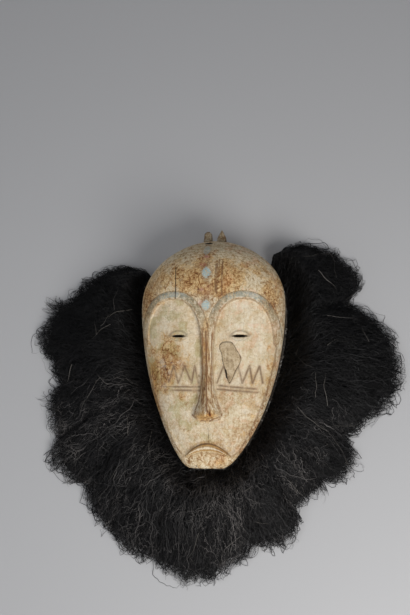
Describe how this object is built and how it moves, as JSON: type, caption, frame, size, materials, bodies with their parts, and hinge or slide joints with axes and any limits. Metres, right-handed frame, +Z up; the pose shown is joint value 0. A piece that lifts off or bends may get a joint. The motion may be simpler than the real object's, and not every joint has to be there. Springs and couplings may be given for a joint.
{
  "type": "ngil mask",
  "caption": "Tall carved wooden face mask with brow arches, slit eyes and long nose, hollow behind, with a thick wreath of dark raffia tied round its rim.",
  "frame": {"origin": "on the surface the mask lies on, under the middle of the whole object's box", "axes": "+Z up out of the face as it lies on its back, +Y towards the crown, +X to the viewer's right of the face"},
  "size_m": [0.7344, 0.6788, 0.1583],
  "materials": {
    "painted_wood": "light carved wood under worn chalky kaolin, with rust-brown stains and blue-grey paint on the brow arches",
    "repair_filler": "grey-brown filler, dull and slightly sunk, with a dark joint round it",
    "twine": "pale hand-laid bast twine, dusty, with small tight knots",
    "raffia": "near-black dyed raffia, crimped dry fibres with a faint warm sheen"
  },
  "bodies": {
    "root": {"carved_mask": "painted_wood", "cheek_repair_plug": "repair_filler", "tying_twine": "twine", "raffia_crown_right": "raffia", "raffia_right_upper": "raffia", "raffia_right_middle": "raffia", "raffia_right_lower": "raffia", "raffia_cheek_right": "raffia", "raffia_jaw_right": "raffia", "raffia_chin_right": "raffia", "raffia_chin_middle": "raffia", "raffia_chin_left": "raffia", "raffia_jaw_left": "raffia", "raffia_jaw_outer": "raffia", "raffia_cheek_left": "raffia", "raffia_left_lower": "raffia", "raffia_left_middle": "raffia", "raffia_left_upper": "raffia", "raffia_brow_left": "raffia", "raffia_crown_left": "raffia"}
  },
  "joints": []
}
